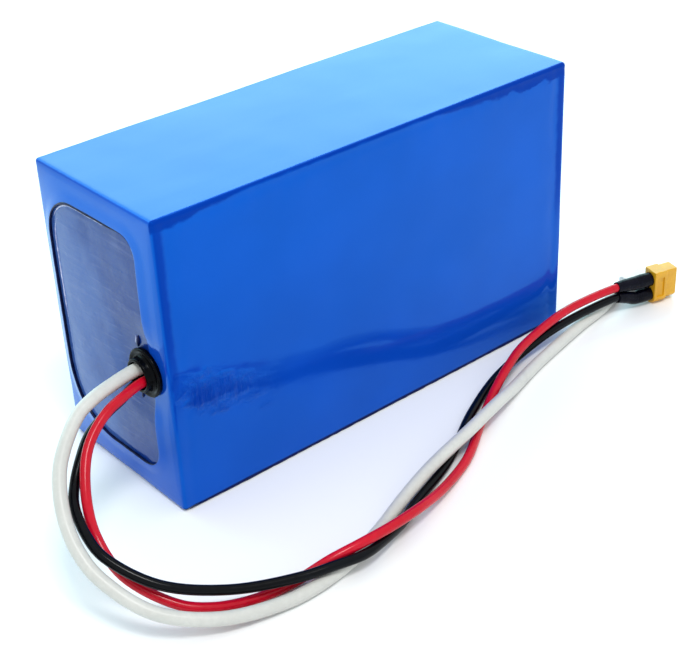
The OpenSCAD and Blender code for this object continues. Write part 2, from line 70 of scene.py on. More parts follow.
grommet_low, grommet_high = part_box("grommet")
ENTRY_Y = (grommet_low.y + grommet_high.y) / 2
ENTRY_Z = (grommet_low.z + grommet_high.z) / 2
FLANGE_R = (grommet_high.y - grommet_low.y) / 2
GROMMET_IN_X = grommet_high.x
BORE_R = 5.2 * MM
NECK_R = 6.5 * MM
# Round the grommet the end lies flat out to this distance
FLAT_R = 10.5 * MM

board_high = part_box("window_board")[1]

# Opening that the film leaves at each end, and its corner radii
WINDOW_Y = (-26.5 * MM, 30 * MM)
WINDOW_Z = (12.3 * MM, 109 * MM)
WINDOW_R = {"front_low": 11 * MM, "front_high": 8 * MM, "back_high": 18 * MM, "back_low": 26 * MM}

# Output connector's place and heading, as in the CAD
PLUG_AT = Vector((140.4, -56.1, 0)) * MM
PLUG_TURN = math.radians(-15)
PLUG_T, PLUG_H, PLUG_REAR_L, PLUG_FRONT_L = 8.1 * MM, 16 * MM, 6.2 * MM, 5.6 * MM
CONTACT_Z = (4.4 * MM, 11.6 * MM)
HOLE_R = 2.25 * MM


# ---------------------------------------------------------------- mesh helpers
def mesh_object(name, verts, faces, materials, kinds=None, smooth=True):
    """A mesh piece; kinds gives the material number of each face."""
    data = bpy.data.meshes.new(name)
    data.from_pydata([tuple(v) for v in verts], [], faces)
    for material in materials:
        data.materials.append(material)
    for k, poly in enumerate(data.polygons):
        poly.use_smooth = smooth
        if kinds:
            poly.material_index = kinds[k]
    data.update()
    obj = bpy.data.objects.new(name, data)
    bpy.context.scene.collection.objects.link(obj)
    return obj


def settle(obj, slot, *nodes):
    """The piece rides on the pack and stands for its CAD nodes, which it hides; slot is not used.
    """
    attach(obj, "root")
    if nodes:
        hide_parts(*nodes)
    return obj


def bridge(rings, count, loop=False):
    """Quads between rings of count points each; loop joins the last ring to the first."""
    faces = []
    for k in range(rings if loop else rings - 1):
        a = k * count
        b = (k + 1) % rings * count
        for i in range(count):
            j = (i + 1) % count
            faces.append((a + i, b + i, b + j, a + j))
    return faces


def smoothstep(low, high, value):
    t = min(max((value - low) / (high - low), 0.0), 1.0)
    return t * t * (3 - 2 * t)


def bell(value, middle, width):
    return math.exp(-((value - middle) / width) ** 2)


def catmull_rom(points, steps):
    """Centripetal Catmull-Rom curve through the points."""
    pts = [Vector(p) for p in points]
    ext = [2 * pts[0] - pts[1]] + pts + [2 * pts[-1] - pts[-2]]
    out = []
    for i in range(1, len(ext) - 2):
        p0, p1, p2, p3 = ext[i - 1:i + 3]
        t0 = 0.0
        t1 = t0 + (p1 - p0).length ** 0.5
        t2 = t1 + (p2 - p1).length ** 0.5
        t3 = t2 + (p3 - p2).length ** 0.5
        for s in range(steps):
            t = t1 + (t2 - t1) * s / steps
            a1 = p0 * ((t1 - t) / (t1 - t0)) + p1 * ((t - t0) / (t1 - t0))
            a2 = p1 * ((t2 - t) / (t2 - t1)) + p2 * ((t - t1) / (t2 - t1))
            a3 = p2 * ((t3 - t) / (t3 - t2)) + p3 * ((t - t2) / (t3 - t2))
            b1 = a1 * ((t2 - t) / (t2 - t0)) + a2 * ((t - t0) / (t2 - t0))
            b2 = a2 * ((t3 - t) / (t3 - t1)) + a3 * ((t - t1) / (t3 - t1))
            out.append(b1 * ((t2 - t) / (t2 - t1)) + b2 * ((t - t1) / (t2 - t1)))
    out.append(pts[-1])
    return out


def path_frames(path):
    """Place and two square directions at each point of a path, turning as little as possible."""
    frames = []
    side = Vector((0, 0, 1)).cross(path[1] - path[0]).normalized()
    for k, p in enumerate(path):
        run = (path[min(k + 1, len(path) - 1)] - path[max(k - 1, 0)]).normalized()
        side = (side - run * side.dot(run)).normalized()
        frames.append((p, side, run.cross(side)))
    return frames


def tube(name, path, radius, material, sides=28):
    """Round solid bar along a path; radius is a function of the point's number and the angle."""
    verts = []
    for k, (p, u, v) in enumerate(path_frames(path)):
        for i in range(sides):
            a = 2 * math.pi * i / sides
            verts.append(p + (u * math.cos(a) + v * math.sin(a)) * radius(k, a))
    faces = bridge(len(path), sides)
    faces.append(tuple(range(sides)))
    faces.append(tuple(range(len(verts) - 1, len(verts) - sides - 1, -1)))
    return mesh_object(name, verts, faces, [material])


def lathe(name, profile, place, axis, material, sides=96):
    """Closed profile of (radius, height) turned about an axis through a place."""
    u = axis.orthogonal().normalized()
    v = axis.cross(u)
    verts = []
    for r, h in profile:
        for i in range(sides):
            a = 2 * math.pi * i / sides
            verts.append(place + axis * h + (u * math.cos(a) + v * math.sin(a)) * r)
    return mesh_object(name, verts, bridge(len(profile), sides, loop=True), [material])


# ---------------------------------------------------------------- materials
class Maker:
    """Short calls that add nodes to one material."""

    def __init__(self, name):
        self.material = bpy.data.materials.new(name)
        self.material.use_nodes = True
        self.nodes = self.material.node_tree.nodes
        self.links = self.material.node_tree.links
        self.shader = self.nodes["Principled BSDF"]
        self.coords = self.nodes.new("ShaderNodeTexCoord").outputs["Object"]
        split = self.nodes.new("ShaderNodeSeparateXYZ")
        self.links.new(self.coords, split.inputs[0])
        self.x, self.y, self.z = split.outputs

    def feed(self, socket, value):
        if isinstance(value, bpy.types.NodeSocket):
            self.links.new(value, socket)
        else:
            socket.default_value = value

    def grain(self, size_mm, detail, stretch=(1, 1, 1), turn=(0, 0, 0)):
        """Noise from 0 to 1 whose features are about size_mm across."""
        mapping = self.nodes.new("ShaderNodeMapping")
        mapping.inputs["Rotation"].default_value = [math.radians(a) for a in turn]
        mapping.inputs["Scale"].default_value = stretch
        self.links.new(self.coords, mapping.inputs["Vector"])
        texture = self.nodes.new("ShaderNodeTexNoise")
        texture.inputs["Scale"].default_value = 1000 / size_mm
        texture.inputs["Detail"].default_value = detail
        texture.inputs["Roughness"].default_value = 0.55
        self.links.new(mapping.outputs[0], texture.inputs["Vector"])
        return texture.outputs[0]

    def stripes(self, size_mm, axis, distortion):
        """Wavy bands from 0 to 1, across one axis."""
        texture = self.nodes.new("ShaderNodeTexWave")
        texture.bands_direction = axis
        texture.inputs["Scale"].default_value = 1000 / size_mm / math.pi / 2
        texture.inputs["Distortion"].default_value = distortion
        self.links.new(self.coords, texture.inputs["Vector"])
        return texture.outputs["Fac"]

    def math(self, operation, result, *others):
        """An operation on one value, or on several from left to right."""
        for other in others or (0.0,):
            node = self.nodes.new("ShaderNodeMath")
            node.operation = operation
            self.feed(node.inputs[0], result)
            self.feed(node.inputs[1], other)
            result = node.outputs[0]
        return result

    def span(self, value, low, high, out_low=0.0, out_high=1.0):
        """Smooth change from out_low to out_high while value goes from low to high."""
        node = self.nodes.new("ShaderNodeMapRange")
        node.interpolation_type = "SMOOTHSTEP"
        for socket, number in zip(list(node.inputs)[:5], (value, low, high, out_low, out_high)):
            self.feed(socket, number)
        return node.outputs[0]

    def mix(self, factor, a, b):
        """Colour a where the factor is 0, colour b where it is 1."""
        node = self.nodes.new("ShaderNodeMix")
        node.data_type = "RGBA"
        self.feed(node.inputs[0], factor)
        for socket, colour in ((node.inputs[6], a), (node.inputs[7], b)):
            self.feed(socket, colour if isinstance(colour, bpy.types.NodeSocket) else (*colour, 1))
        return node.outputs[2]

    def bump(self, height, depth_mm, after=None):
        """Relief of a depth, on top of an earlier relief."""
        node = self.nodes.new("ShaderNodeBump")
        node.inputs["Strength"].default_value = 1.0
        node.inputs["Distance"].default_value = depth_mm * MM
        self.links.new(height, node.inputs["Height"])
        if after:
            self.links.new(after, node.inputs["Normal"])
        self.links.new(node.outputs[0], self.shader.inputs["Normal"])
        return node.outputs[0]

    def finish(self, colour, roughness, **sockets):
        """Joins the colour, the roughness and any other named inputs to the shader."""
        self.feed(self.shader.inputs["Base Color"], colour)
        self.feed(self.shader.inputs["Roughness"], roughness)
        for name, value in sockets.items():
            self.feed(self.shader.inputs[name.replace("_", " ")], value)
        return self.material


def detailed(name, dark, light, rough, grain_mm, bump_mm, patch=0.5, stretch=(1, 1, 1),
             **sockets):
    """Finish with fine grain, broad patches, varied roughness and a shallow bump."""
    m = Maker(name)
    fine = m.grain(grain_mm, 5, stretch)
    broad = m.grain(grain_mm * 14, 2)
    blend = m.math("ADD", m.math("MULTIPLY", fine, 1 - patch), m.math("MULTIPLY", broad, patch))
    m.bump(fine, bump_mm)
    return m.finish(m.mix(m.span(blend, 0.35, 0.65), dark, light),
                    m.span(fine, 0.3, 0.7, *rough), **sockets)


def film_material():
    """Glossy shrunk film, darker in strips along the edges, with painted shade in low creases,
    painted contact shadow at the base, painted light on the upper ends, and fine draw lines.
    """
    m = Maker("shrunk_blue_film")
    broad = m.grain(45, 2)
    fine = m.grain(2.4, 4, (0.5, 1, 1))
    draw = m.grain(5, 3, (0.12, 1, 1), (0, 24, 0))
    ragged = m.grain(7, 5, (0.8, 1, 1.4))
    about_zero = m.math("SUBTRACT", ragged, 0.5)
    on_side = m.span(m.math("ABSOLUTE", m.y), HALF_W - EDGE_R, HALF_W - 1.0 * MM)
    # Darker strip under the top edge, wider near both ends, with a ragged lower border
    reach = m.math("ADD", m.span(m.x, 10 * MM, 92 * MM, 0, 4.2),
                   m.span(m.x, -97 * MM, -62 * MM, 3.4, 0))
    uneven = m.math("MULTIPLY", about_zero, m.math("ADD", reach, 1.0), 1.7)
    depth = m.math("MULTIPLY", m.math("ADD", reach, 1.1, uneven), MM)
    below_top = m.math("SUBTRACT", PACK_H, m.z)
    strip = m.math("MULTIPLY", on_side, m.span(below_top, 0.05 * MM, 0.35 * MM),
                   m.span(m.math("SUBTRACT", below_top, depth), -0.7 * MM, 0.7 * MM, 1, 0))
    # Band beside each upright edge, fading out towards the base
    to_end = m.math("SUBTRACT", HALF_L, m.math("ABSOLUTE", m.x))
    edge_band = m.math("MULTIPLY", on_side, m.span(m.z, 30 * MM, 75 * MM),
                       m.span(to_end, 0.3 * MM, 0.9 * MM),
                       m.span(m.math("ADD", to_end, m.math("MULTIPLY", ragged, 2.2 * MM)),
                              3.6 * MM, 6.0 * MM, 1, 0))
    # Short slanting creases low down on the front, in a patch that sinks away from the cable end
    wander = m.math("MULTIPLY", about_zero, 22 * MM)
    level = m.math("ADD", m.z, wander, m.span(m.x, -HALF_L, -45 * MM, 0, 14 * MM))
    crease_zone = m.math("MULTIPLY", on_side, m.span(m.y, -MM, MM, 1, 0),
                         m.span(m.math("ADD", m.x, wander), -100 * MM, -88 * MM),
                         m.span(m.x, -80 * MM, -46 * MM, 1, 0),
                         m.span(level, 39 * MM, 48 * MM), m.span(level, 51 * MM, 58 * MM, 1, 0))
    # Painted shade in the creases: ragged darker spots over the creased patch
    crease_shade = m.math("MULTIPLY", crease_zone, m.span(ragged, 0.38, 0.62, 0.3, 0.65))
    # The upper part of each end is painted paler: painted light from above
    end_top_light = m.math("MULTIPLY", m.span(m.z, 50 * MM, 115 * MM, 0, 0.6),
                  m.span(m.math("ABSOLUTE", m.x), HALF_L - 0.4 * MM, HALF_L + 0.6 * MM))
    # Dark line at the base: painted contact shadow, with the film tucking under there
    base_shadow_and_tuck = m.math("MULTIPLY", on_side, m.span(m.z, 0.9 * MM, 1.9 * MM, 0.9, 0))
    deep = m.math("MAXIMUM", m.math("MULTIPLY", strip, 0.72), crease_shade,
                  m.math("MULTIPLY", edge_band, 0.6))
    colour = m.mix(m.span(broad, 0.3, 0.7), (0.0022, 0.056, 0.45), (0.0030, 0.064, 0.50))
    colour = m.mix(end_top_light, colour, (0.022, 0.13, 0.62))
    colour = m.mix(deep, colour, (0.001, 0.022, 0.27))
    colour = m.mix(base_shadow_and_tuck, colour, (0.0008, 0.006, 0.10))
    crease = m.math("MULTIPLY", m.grain(2.0, 3, (1, 1, 0.22), (0, -28, 0)), crease_zone)
    m.bump(fine, 0.006, m.bump(crease, 0.6, m.bump(draw, 0.03)))
    shine = m.span(m.math("MAXIMUM", strip, edge_band, crease_shade), 0, 1, 0.5, 0.12)
    return m.finish(colour, m.span(fine, 0.3, 0.7, 0.06, 0.10), Metallic=0.12, IOR=1.45,
                    Specular_Tint=(0.0, 0.95, 1.0, 1.0), Specular_IOR_Level=shine)


def window_material():
    """Blue-violet board behind a clear layer that is scuffed up and down and across."""
    m = Maker("board_under_clear_film")
    cloud = m.grain(26, 3)
    speck = m.grain(2.4, 3)
    scuff = m.grain(2.2, 4, (1, 0.06, 1), (-24, 0, 0))
    across = m.grain(2.0, 4, (1, 0.07, 1), (12, 0, 0))
    paler = m.math("ADD", m.math("MULTIPLY", cloud, 0.7), m.span(m.y, -20 * MM, 25 * MM, 0, 0.42))
    colour = m.mix(m.span(paler, 0.3, 0.75), (0.001, 0.024, 0.20), (0.040, 0.098, 0.34))
    colour = m.mix(m.span(speck, 0.72, 0.80), colour, (0.10, 0.15, 0.38))
    lines = m.math("ADD", m.span(scuff, 0.58, 0.70), m.span(across, 0.60, 0.72))
    colour = m.mix(m.math("MULTIPLY", lines, 0.22), colour, (0.16, 0.20, 0.42))
    m.bump(m.grain(9, 3), 0.30, m.bump(m.math("ADD", scuff, across), 0.10))
    return m.finish(colour, m.span(scuff, 0.35, 0.7, 0.10, 0.26), IOR=1.45,
                    Specular_Tint=(0.6, 0.88, 1.0, 1.0))


def board_material():
    """Printed board: solder mask over copper tracks."""
    m = Maker("green_solder_mask")
    tracks = m.grain(6, 1, (1, 1, 0.25))
    pads = m.grain(2.2, 0)
    colour = m.mix(m.span(tracks, 0.48, 0.52), (0.006, 0.075, 0.03), (0.012, 0.14, 0.05))
    colour = m.mix(m.span(pads, 0.72, 0.74), colour, (0.6, 0.58, 0.52))
    m.bump(m.span(tracks, 0.47, 0.53), 0.03)
    return m.finish(colour, m.span(tracks, 0.3, 0.7, 0.25, 0.35))


def lined_material(name, dark, light, rough, pitch_mm, axis, bump_mm, **sockets):
    """Finish with fine parallel lines, such as fibres or brushing."""
    m = Maker(name)
    lines = m.stripes(pitch_mm, axis, 1.5)
    worn = m.grain(8, 3)
    m.bump(lines, bump_mm)
    return m.finish(m.mix(m.math("MULTIPLY", lines, worn), dark, light),
                    m.span(worn, 0.3, 0.7, *rough), **sockets)


MATERIALS = {
    "blue_wrap": film_material(),
    "end_board": window_material(),
    "pack_board": detailed("fibre_board", (0.012, 0.014, 0.018), (0.022, 0.025, 0.032),
                           (0.4, 0.6), 0.8, 0.04),
    "foam": detailed("closed_cell_foam", (0.50, 0.50, 0.47), (0.68, 0.68, 0.65), (0.8, 0.95),
                     0.9, 0.15, 0.2),
    "fish_paper": detailed("insulating_paper", (0.14, 0.30, 0.19), (0.20, 0.38, 0.25),
                           (0.6, 0.8), 0.5, 0.03, 0.4, (1, 1, 0.3)),
    "fibre_tape": lined_material("fibre_laid_tape", (0.42, 0.36, 0.18), (0.72, 0.66, 0.42),
                                 (0.2, 0.35), 1.6, "Z", 0.05),
    "cell_sleeve": detailed("cell_sleeve_film", (0.008, 0.17, 0.09), (0.014, 0.24, 0.13),
                            (0.18, 0.3), 1.4, 0.02, 0.7),
    "nickel": lined_material("nickel_strip", (0.48, 0.46, 0.42), (0.68, 0.66, 0.62),
                             (0.18, 0.34), 0.7, "X", 0.01, Metallic=1.0),
    "glue": detailed("cured_adhesive", (0.62, 0.58, 0.46), (0.76, 0.73, 0.62), (0.3, 0.5),
                     2.5, 0.2, 0.5),
    "sense_wire": detailed("wire_insulation", (0.62, 0.62, 0.62), (0.74, 0.74, 0.74),
                           (0.35, 0.5), 0.6, 0.02),
    "probe": detailed("resin_bead", (0.50, 0.10, 0.01), (0.66, 0.16, 0.02), (0.25, 0.4),
                      0.8, 0.03),
    "circuit_board": board_material(),
    "transistor": detailed("moulded_case", (0.010, 0.010, 0.011), (0.020, 0.020, 0.021),
                           (0.45, 0.65), 0.3, 0.02),
    "heat_spreader": lined_material("brushed_plate", (0.50, 0.50, 0.51), (0.72, 0.72, 0.73),
                                    (0.25, 0.4), 0.5, "Y", 0.015, Metallic=1.0),
    "white_plastic": detailed("white_moulding", (0.66, 0.66, 0.62), (0.76, 0.76, 0.72),
                              (0.3, 0.42), 0.5, 0.012),
    "grommet_rubber": detailed("black_rubber", (0.0006, 0.0008, 0.0012), (0.002, 0.0025, 0.004),
                               (0.18, 0.30), 0.5, 0.008, 0.5, Specular_IOR_Level=0.06),
    "red_lead": detailed("red_silicone_skin", (0.48, 0.002, 0.014), (0.56, 0.004, 0.022),
                         (0.16, 0.24), 2.2, 0.005, 0.6, Specular_IOR_Level=0.24),
    "black_lead": detailed("black_silicone_skin", (0.0006, 0.0008, 0.0015),
                           (0.002, 0.003, 0.005), (0.15, 0.22), 2.2, 0.005, 0.6,
                           Specular_IOR_Level=0.13),
    "grey_sheath": detailed("grey_cable_sheath", (0.53, 0.53, 0.50), (0.60, 0.60, 0.565),
                            (0.28, 0.40), 2.0, 0.008, 0.6, Specular_IOR_Level=0.4),
    "black_sleeve": detailed("black_shrunk_sleeve", (0.0008, 0.0009, 0.003),
                             (0.003, 0.003, 0.009), (0.16, 0.28), 0.9, 0.015, 0.4,
                             Specular_IOR_Level=0.10),
    "amber_nylon": detailed("amber_moulding", (0.62, 0.30, 0.004), (0.74, 0.39, 0.009),
                            (0.28, 0.42), 0.8, 0.012, 0.6, Subsurface_Weight=0.10,
                            Subsurface_Radius=(0.004, 0.002, 0.0005)),
    "gold_contact": lined_material("gold_plating", (0.66, 0.42, 0.10), (0.86, 0.60, 0.20),
                                   (0.15, 0.3), 0.5, "X", 0.008, Metallic=1.0),
    "tin_contact": lined_material("tin_plating", (0.52, 0.52, 0.52), (0.72, 0.72, 0.71),
                                  (0.2, 0.35), 0.4, "X", 0.008, Metallic=1.0),
}
# Painted highlight: the clear film folds on the boards are coloured pale for the light they catch
HIGHLIT_CLEAR_FOLD = detailed("clear_film_fold_painted_highlight", (0.18, 0.22, 0.46), (0.50, 0.54, 0.76), (0.08, 0.2), 2.0,
                      0.02, 0.3)
# Painted contact shadow: the fold at the base is coloured near black for the fold and the shadow
# where the pack meets the floor
FOLD_AND_BASE_SHADOW = detailed("folded_film_painted_shadow", (0.0005, 0.004, 0.06), (0.001, 0.008, 0.09),
                       (0.3, 0.45), 1.5, 0.01, Specular_IOR_Level=0.15)
# Painted shade: the film's cut wall, its rolled border and the slits by the grommet are coloured
# near black for the shade in the gap under them
SHADED_CUT_EDGE = detailed("cut_film_edge_painted_shade", (0.001, 0.003, 0.030), (0.003, 0.008, 0.060), (0.25, 0.4),
                    1.5, 0.02, Specular_IOR_Level=0.15)

# ---------------------------------------------------------------- cords
CABLE_ROUTE = [
    (-96, -22.3, 57), (-105, -22.3, 57), (-114, -22.9, 56), (-123.3, -24.4, 54.8),
    (-131, -26.2, 52.3), (-143.9, -34.6, 44.3), (-149.8, -42, 38.3), (-153.8, -51, 31.3),
    (-155.2, -60, 25.2), (-154, -69, 19.7), (-145.5, -86, 11.1), (-128, -98, 5.6),
    (-104, -103.8, 2.6), (-90, -104.3, 2.5), (-74, -102.1, 2.5), (-56, -96.2, 2.5),
    (-38.9, -90.4, 4.4), (-24.5, -86.3, 6), (-11, -83.4, 7.3), (2, -80.5, 7.6),
    (15, -76.8, 7.4), (29, -72, 6), (44, -66.3, 3.4), (62, -60.3, 2.5), (82, -55.4, 2.5),
    (100, -51.4, 2.5), (118, -48.3, 2.5), (134, -43.1, 2.5),
]
RED_ROUTE = [
    (-96, -26.9, 54.2), (-105, -26.9, 54.2), (-113, -28.5, 53.4), (-121.5, -30.1, 51.4),
    (-130, -33.2, 47.2), (-136.1, -37.4, 42.3), (-142.6, -45.9, 33), (-145.2, -53.8, 23.6),
    (-144.7, -67.6, 14.8), (-135, -84, 7.1), (-126, -90.4, 4.4), (-115, -94, 2.5),
    (-103, -96.4, 1.9), (-93, -97.5, 2.5), (-83.8, -101.1, 6.9), (-71.7, -104.1, 9.4),
    (-58.4, -104.3, 9.3), (-43.8, -102, 7.6), (-28.4, -97, 4.2), (-14, -91.4, 2.2),
    (-2, -86, 1.9), (23, -69.8, 1.9), (37, -62.5, 4.5), (49, -57.8, 7.6), (62, -53.3, 9.2),
    (90.6, -49.2, 11.6), (106, -49.9, 12.4), (122.5, -52, 12.6), (127.5, -52.9, 12.2),
    (132.7, -54, 11.6), (135.5, -54.8, 11.6),
]
BLACK_ROUTE = [
    (-96, -23.5, 52.3), (-105, -23.5, 52.3), (-113, -25.4, 50.2), (-121, -26.6, 47.8),
    (-129, -28.6, 44.5), (-136, -33.3, 40.6), (-142.3, -38.6, 35.8), (-146.6, -44.3, 32.2),
    (-149.3, -55.4, 26.7), (-148.7, -64.3, 22.8), (-139, -79.8, 15.3), (-119.3, -91.9, 9.1),
    (-96, -101.5, 7.1), (-84.3, -105.1, 7.4), (-72.7, -106.8, 6.6), (-60.1, -103.7, 4.7),
    (-48.8, -99.4, 2.7), (-36.8, -93.6, 1.9), (-10, -83.1, 1.9), (19.2, -66.1, 1.9),
    (45.7, -54.7, 2.4), (74.3, -50.4, 5.4), (88.3, -50.4, 7.1), (104, -50.9, 7.8),
    (122.5, -52.5, 7.8), (127.5, -53.1, 6.3), (132.7, -54, 4.4), (135.5, -54.8, 4.4),
]
WIRE_R = 1.85 * MM
CABLE_R = 2.5 * MM
ROUTE_STEPS = 8


def cord_path(route, radius):
    """Smooth path in metres that never dips below the surface."""
    path = catmull_rom([Vector(p) * MM for p in route], ROUTE_STEPS)
    for p in path:
        p.z = max(p.z, radius)
    return path


def make_cord(name, route, radius, node, slot):
    path = cord_path(route, radius)
    return settle(tube(name, path, lambda k, a: radius, MATERIALS[slot]), slot, node), path


cable, cable_path = make_cord("charge_cable_sheath", CABLE_ROUTE, CABLE_R, "charge_cable",
                              "grey_sheath")
red, red_path = make_cord("red_output_wire", RED_ROUTE, WIRE_R, "red_wire", "red_lead")
black, black_path = make_cord("black_output_wire", BLACK_ROUTE, WIRE_R, "black_wire",
                              "black_lead")


# ---------------------------------------------------------------- film and boards at the ends
SIDE_STEPS = 84
TOP_STEPS = 46
CORNER_STEPS = 20


def eased(t):
    """Share of a straight side, with the points denser near its ends."""
    return 0.45 * t + 0.55 * (0.5 - 0.5 * math.cos(math.pi * t))


def outline(y_span, z_span, radii):
    """Closed outline with round corners: up the front, over the top, down the back, underneath."""
    (front, back), (low, high) = y_span, z_span
    fl, fh = radii["front_low"], radii["front_high"]
    bh, bl = radii["back_high"], radii["back_low"]
    sides = [((front, low + fl), (front, high - fh), SIDE_STEPS, (front + fh, high - fh), fh, 180),
             ((front + fh, high), (back - bh, high), TOP_STEPS, (back - bh, high - bh), bh, 90),
             ((back, high - bh), (back, low + bl), SIDE_STEPS, (back - bl, low + bl), bl, 0),
             ((back - bl, low), (front + fl, low), TOP_STEPS, (front + fl, low + fl), fl, -90)]
    points = []
    for (y0, z0), (y1, z1), steps, (cy, cz), r, angle in sides:
        for i in range(steps):
            t = eased(i / steps)
            points.append((y0 + (y1 - y0) * t, z0 + (z1 - z0) * t))
        for i in range(CORNER_STEPS):
            a = math.radians(angle - 90 * i / CORNER_STEPS)
            points.append((cy + r * math.cos(a), cz + r * math.sin(a)))
    return points


def body_outline(inset):
    r = max(EDGE_R - inset, 0.0)
    return outline((-HALF_W + inset, HALF_W - inset), (inset, PACK_H - inset),
                   dict.fromkeys(WINDOW_R, r))


def window_gap(y, z):
    """Distance from the window's outline, more than zero on the film."""
    mid_y, mid_z = sum(WINDOW_Y) / 2, sum(WINDOW_Z) / 2
    r = WINDOW_R[("front" if y < mid_y else "back") + ("_low" if z < mid_z else "_high")]
    qy = abs(y - mid_y) - (WINDOW_Y[1] - WINDOW_Y[0]) / 2 + r
    qz = abs(z - mid_z) - (WINDOW_Z[1] - WINDOW_Z[0]) / 2 + r
    return math.hypot(max(qy, 0), max(qz, 0)) + min(max(qy, qz), 0) - r


def entry_distance(y, z):
    return math.hypot(y - ENTRY_Y, z - ENTRY_Z)


def bulge(y, z, flat_entry):
    """How far the end stands out past the pack's nominal length."""
    u, v = y / HALF_W, (z - MID_Z) / MID_Z
    middle = (1.4 + 1.1 * smoothstep(-10 * MM, 28 * MM, y)) * MM
    out = middle * max(1 - u ** 4, 0) * max(1 - v ** 4, 0)
    return out * (smoothstep(FLAT_R, 24 * MM, entry_distance(y, z)) if flat_entry else 1)


def lip(y, z, flat_entry):
    """How far the film's cut border stands off the board."""
    out = 0.5 * MM * (1 - smoothstep(0, 5 * MM, window_gap(y, z)))
    return out * (smoothstep(FLAT_R, 18 * MM, entry_distance(y, z)) if flat_entry else 1)


def skirt_entry(point):
    """Moves a point of the window's outline round the grommet's neck."""
    y, z = point
    clear = NECK_R + 0.4 * MM
    if abs(z - ENTRY_Z) < clear and y < 0:
        y = min(y, ENTRY_Y - math.sqrt(clear ** 2 - (z - ENTRY_Z) ** 2))
    return y, z


def film_shift(p):
    """Small unevenness of the film along its outward direction, worked out in millimetres."""
    scale = 1 / MM
    x, y, z = p.x * scale, p.y * scale, p.z * scale
    long_side = smoothstep(HALF_W - 1.5 * MM, HALF_W - 0.3 * MM, abs(p.y))
    under_top = bell(z, 114.5, 4.5) * long_side
    near_end = bell(abs(x), 94.5, 4.5) * long_side
    low_left = smoothstep(-50, -75, x) * bell(z, 46, 12) * long_side
    # Broad and narrow waves
    shift = 0.22 * noise.noise(Vector((x / 42, y / 30, z / 34)))
    shift += 0.07 * noise.noise(Vector((x / 16, y / 14, z / 15)))
    # Puckers along the top and the upright edges, and creases low down near the cable end
    shift += under_top * 0.14 * noise.noise(Vector((x / 3.6, 3.1, z / 7)))
    shift += near_end * 0.12 * noise.noise(Vector((x / 3.2, 7.7, z / 13)))
    shift += low_left * 0.09 * noise.noise(Vector(((x + z) / 5, y, (x - z) / 1.9)))
    # Grooves inside the edges, and a small swelling on the edge beside the cable entry
    shift -= 0.16 * bell(abs(x), 95, 2.2) * long_side
    shift -= 0.16 * bell(z, 116, 1.8) * long_side
    shift += 0.3 * bell(x, -96, 5) * bell(z, 59, 4) * bell(y, -HALF_W * scale, 3)
    return max(min(shift, 0.34), -0.36) * MM


def film_rings():
    """Rings of points from the near window's edge over the body to the far window's edge."""
    window = outline(WINDOW_Y, WINDOW_Z, WINDOW_R)
    near_window = [skirt_entry(p) for p in window]
    cap_steps, round_steps, body_steps = 14, 7, 120
    flat = body_outline(EDGE_R)

    def cap(edge, t, side):
        ring = []
        for (y0, z0), (y1, z1) in zip(edge, flat):
            y, z = y0 + (y1 - y0) * t, z0 + (z1 - z0) * t
            near = side < 0
            ring.append(Vector((side * (END_X[side] + bulge(y, z, near) + lip(y, z, near)), y, z)))
        return ring

    def rounded(angle, side):
        x = END_X[side] - EDGE_R * (1 - math.cos(angle))
        return [Vector((side * x, y, z)) for y, z in body_outline(EDGE_R * (1 - math.sin(angle)))]

    rings = [cap(near_window, (k / cap_steps) ** 1.5, -1) for k in range(cap_steps)]
    rings += [rounded(math.pi / 2 * k / round_steps, -1) for k in range(round_steps)]
    body = body_outline(0)
    for k in range(body_steps + 1):
        t = k / body_steps
        share = 0.7 * t + 0.3 * (0.5 - 0.5 * math.cos(math.pi * t))
        x = -END_X[-1] + EDGE_R + (END_X[-1] + END_X[1] - 2 * EDGE_R) * share
        rings.append([Vector((x, y, z)) for y, z in body])
    rings += [rounded(math.pi / 2 * k / round_steps, 1) for k in range(round_steps - 1, -1, -1)]
    rings += [cap(window, (k / cap_steps) ** 1.5, 1) for k in range(cap_steps - 1, -1, -1)]
    return rings, near_window, window


def make_film():
    rings, near_window, window = film_rings()
    outer, count = len(rings), len(rings[0])
    core_low = Vector((-END_X[-1] + EDGE_R, -HALF_W + EDGE_R, EDGE_R))
    core_high = Vector((END_X[1] - EDGE_R, HALF_W - EDGE_R, PACK_H - EDGE_R))
    for ring in rings:
        for p in ring:
            core = Vector([min(max(v, lo), hi) for v, lo, hi in zip(p, core_low, core_high)])
            away = (p - core).normalized()
            share = 1.0
            if abs(p.x) >= HALF_L - 0.01 * MM:
                share = min(share, max(window_gap(p.y, p.z), 0) / (3 * MM))
            p += away * film_shift(p) * share
            p.z = max(p.z, 0.02 * MM)

    # The cut wall at each window, coloured near black as painted shade of the gap under the film's
    # border, then the inner face back to the start
    def wall(edge, side, near):
        return [Vector((side * (END_X[side] + bulge(y, z, near) - WALL_DEPTH), y, z))
                for y, z in edge]

    def inside(x, inset):
        return [Vector((x, y, z)) for y, z in body_outline(inset)]

    rings.append(wall(window, 1, False))
    rings += [inside(END_X[1] - FILM_T, EDGE_R), inside(END_X[1] - EDGE_R, FILM_T),
              inside(-END_X[-1] + EDGE_R, FILM_T), inside(-END_X[-1] + FILM_T, EDGE_R)]
    rings.append(wall(near_window, -1, True))
    faces = bridge(len(rings), count, loop=True)
    walls = (outer - 1, len(rings) - 1)
    kinds = [1 if f // count in walls else 0 for f in range(len(faces))]
    film = mesh_object("shrunk_film", [p for ring in rings for p in ring], faces,
                       [MATERIALS["blue_wrap"], SHADED_CUT_EDGE], kinds)
    return settle(film, "blue_wrap", "shrink_wrap")


def rect_reach(angle, y_reach, z_reach, from_y, from_z):
    """Distance from a point to a rectangle's border in a direction."""
    c, s = math.cos(angle), math.sin(angle)
    ways = []
    if abs(c) > 1e-9:
        ways.append((math.copysign(y_reach, c) - from_y) / c)
    if abs(s) > 1e-9:
        ways.append(((MID_Z + math.copysign(z_reach, s)) - from_z) / s)
    return min(ways)


